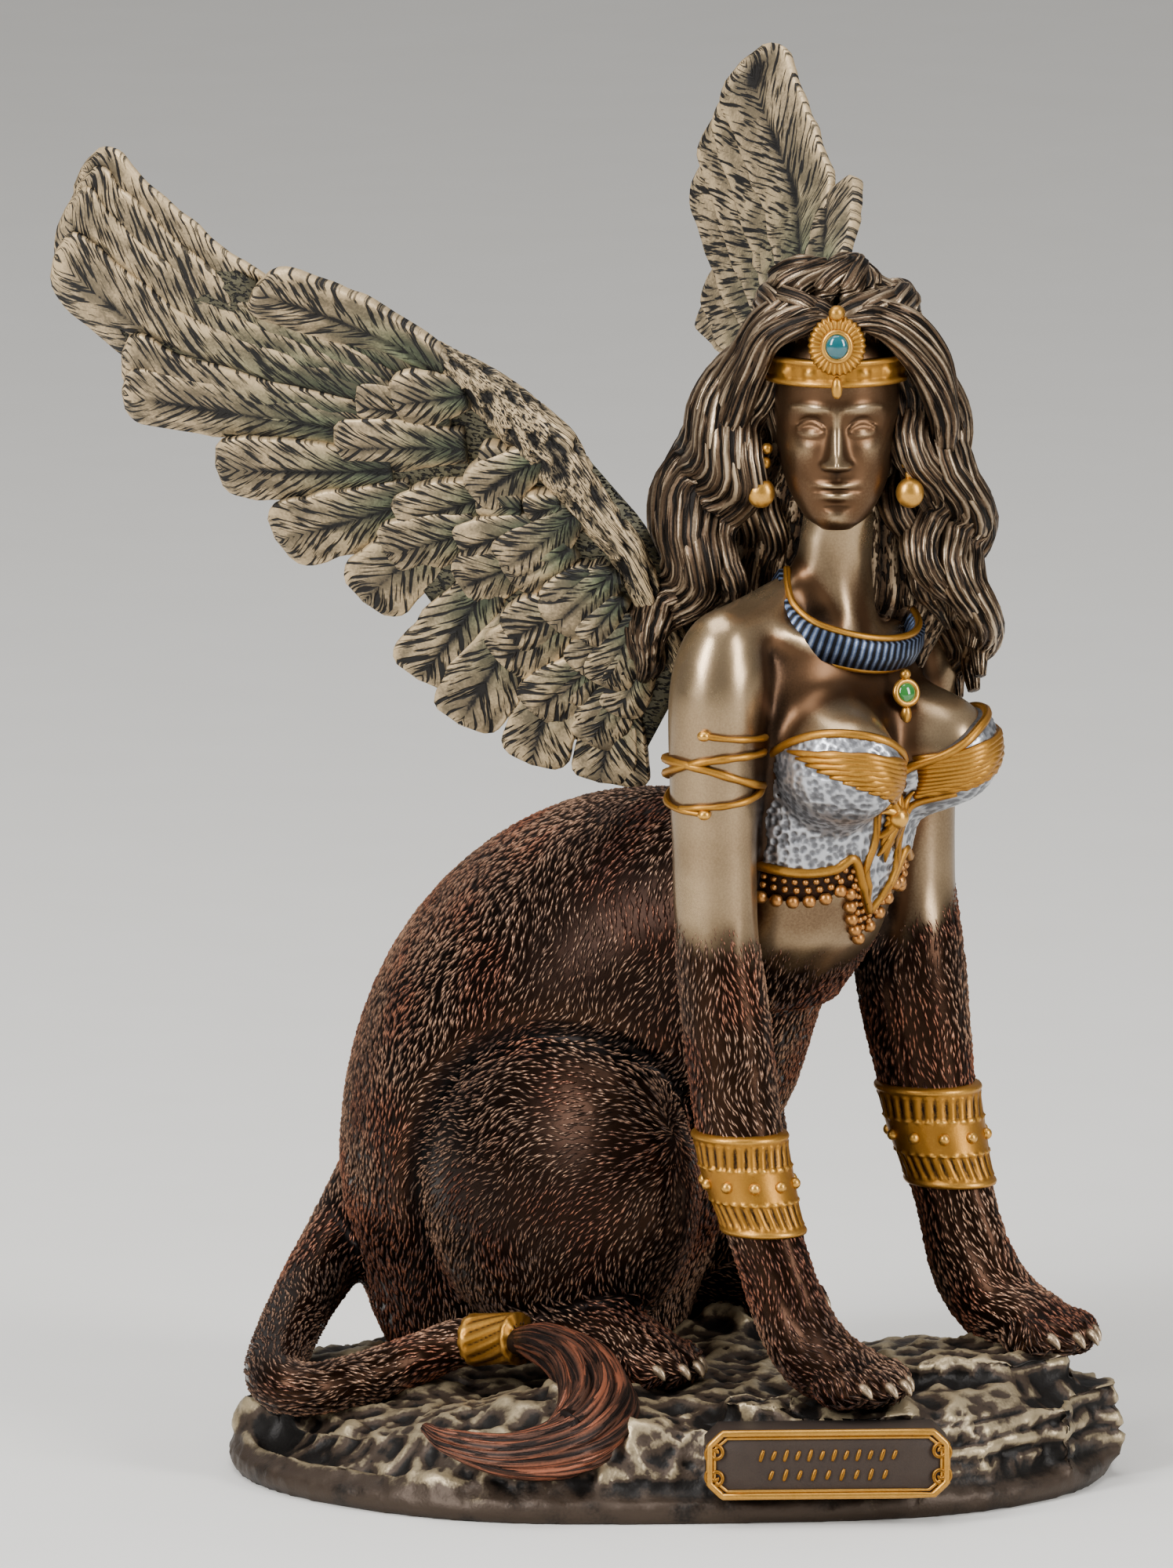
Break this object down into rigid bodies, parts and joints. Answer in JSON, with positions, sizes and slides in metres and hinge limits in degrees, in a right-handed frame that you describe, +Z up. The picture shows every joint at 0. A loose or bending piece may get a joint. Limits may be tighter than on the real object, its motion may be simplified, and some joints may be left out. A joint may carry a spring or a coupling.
{
  "type": "sphinx statue",
  "caption": "Seated winged sphinx figurine with a woman's head and arms and a lion's body, on a rock base with a name plaque, in a bronzed finish.",
  "frame": {"origin": "on the underside of the rock base, in the figure's own mid-plane", "axes": "+Z up, -Y the way the chest faces, X across the shoulders with her left side at +X; the face and the plaque look 48 degrees to her right"},
  "size_m": [0.163, 0.145, 0.2171],
  "materials": {
    "bronzed_resin": "cast resin with a dark bronze coat, dry-brushed highlights and gilt details",
    "patinated_resin": "cast resin with a dark bronze coat, grey-green patina and pale dry-brushed feather edges"
  },
  "bodies": {
    "root": {"sphinx_and_rock_base": "bronzed_resin", "left_wing": "patinated_resin", "right_wing": "patinated_resin"}
  },
  "joints": []
}
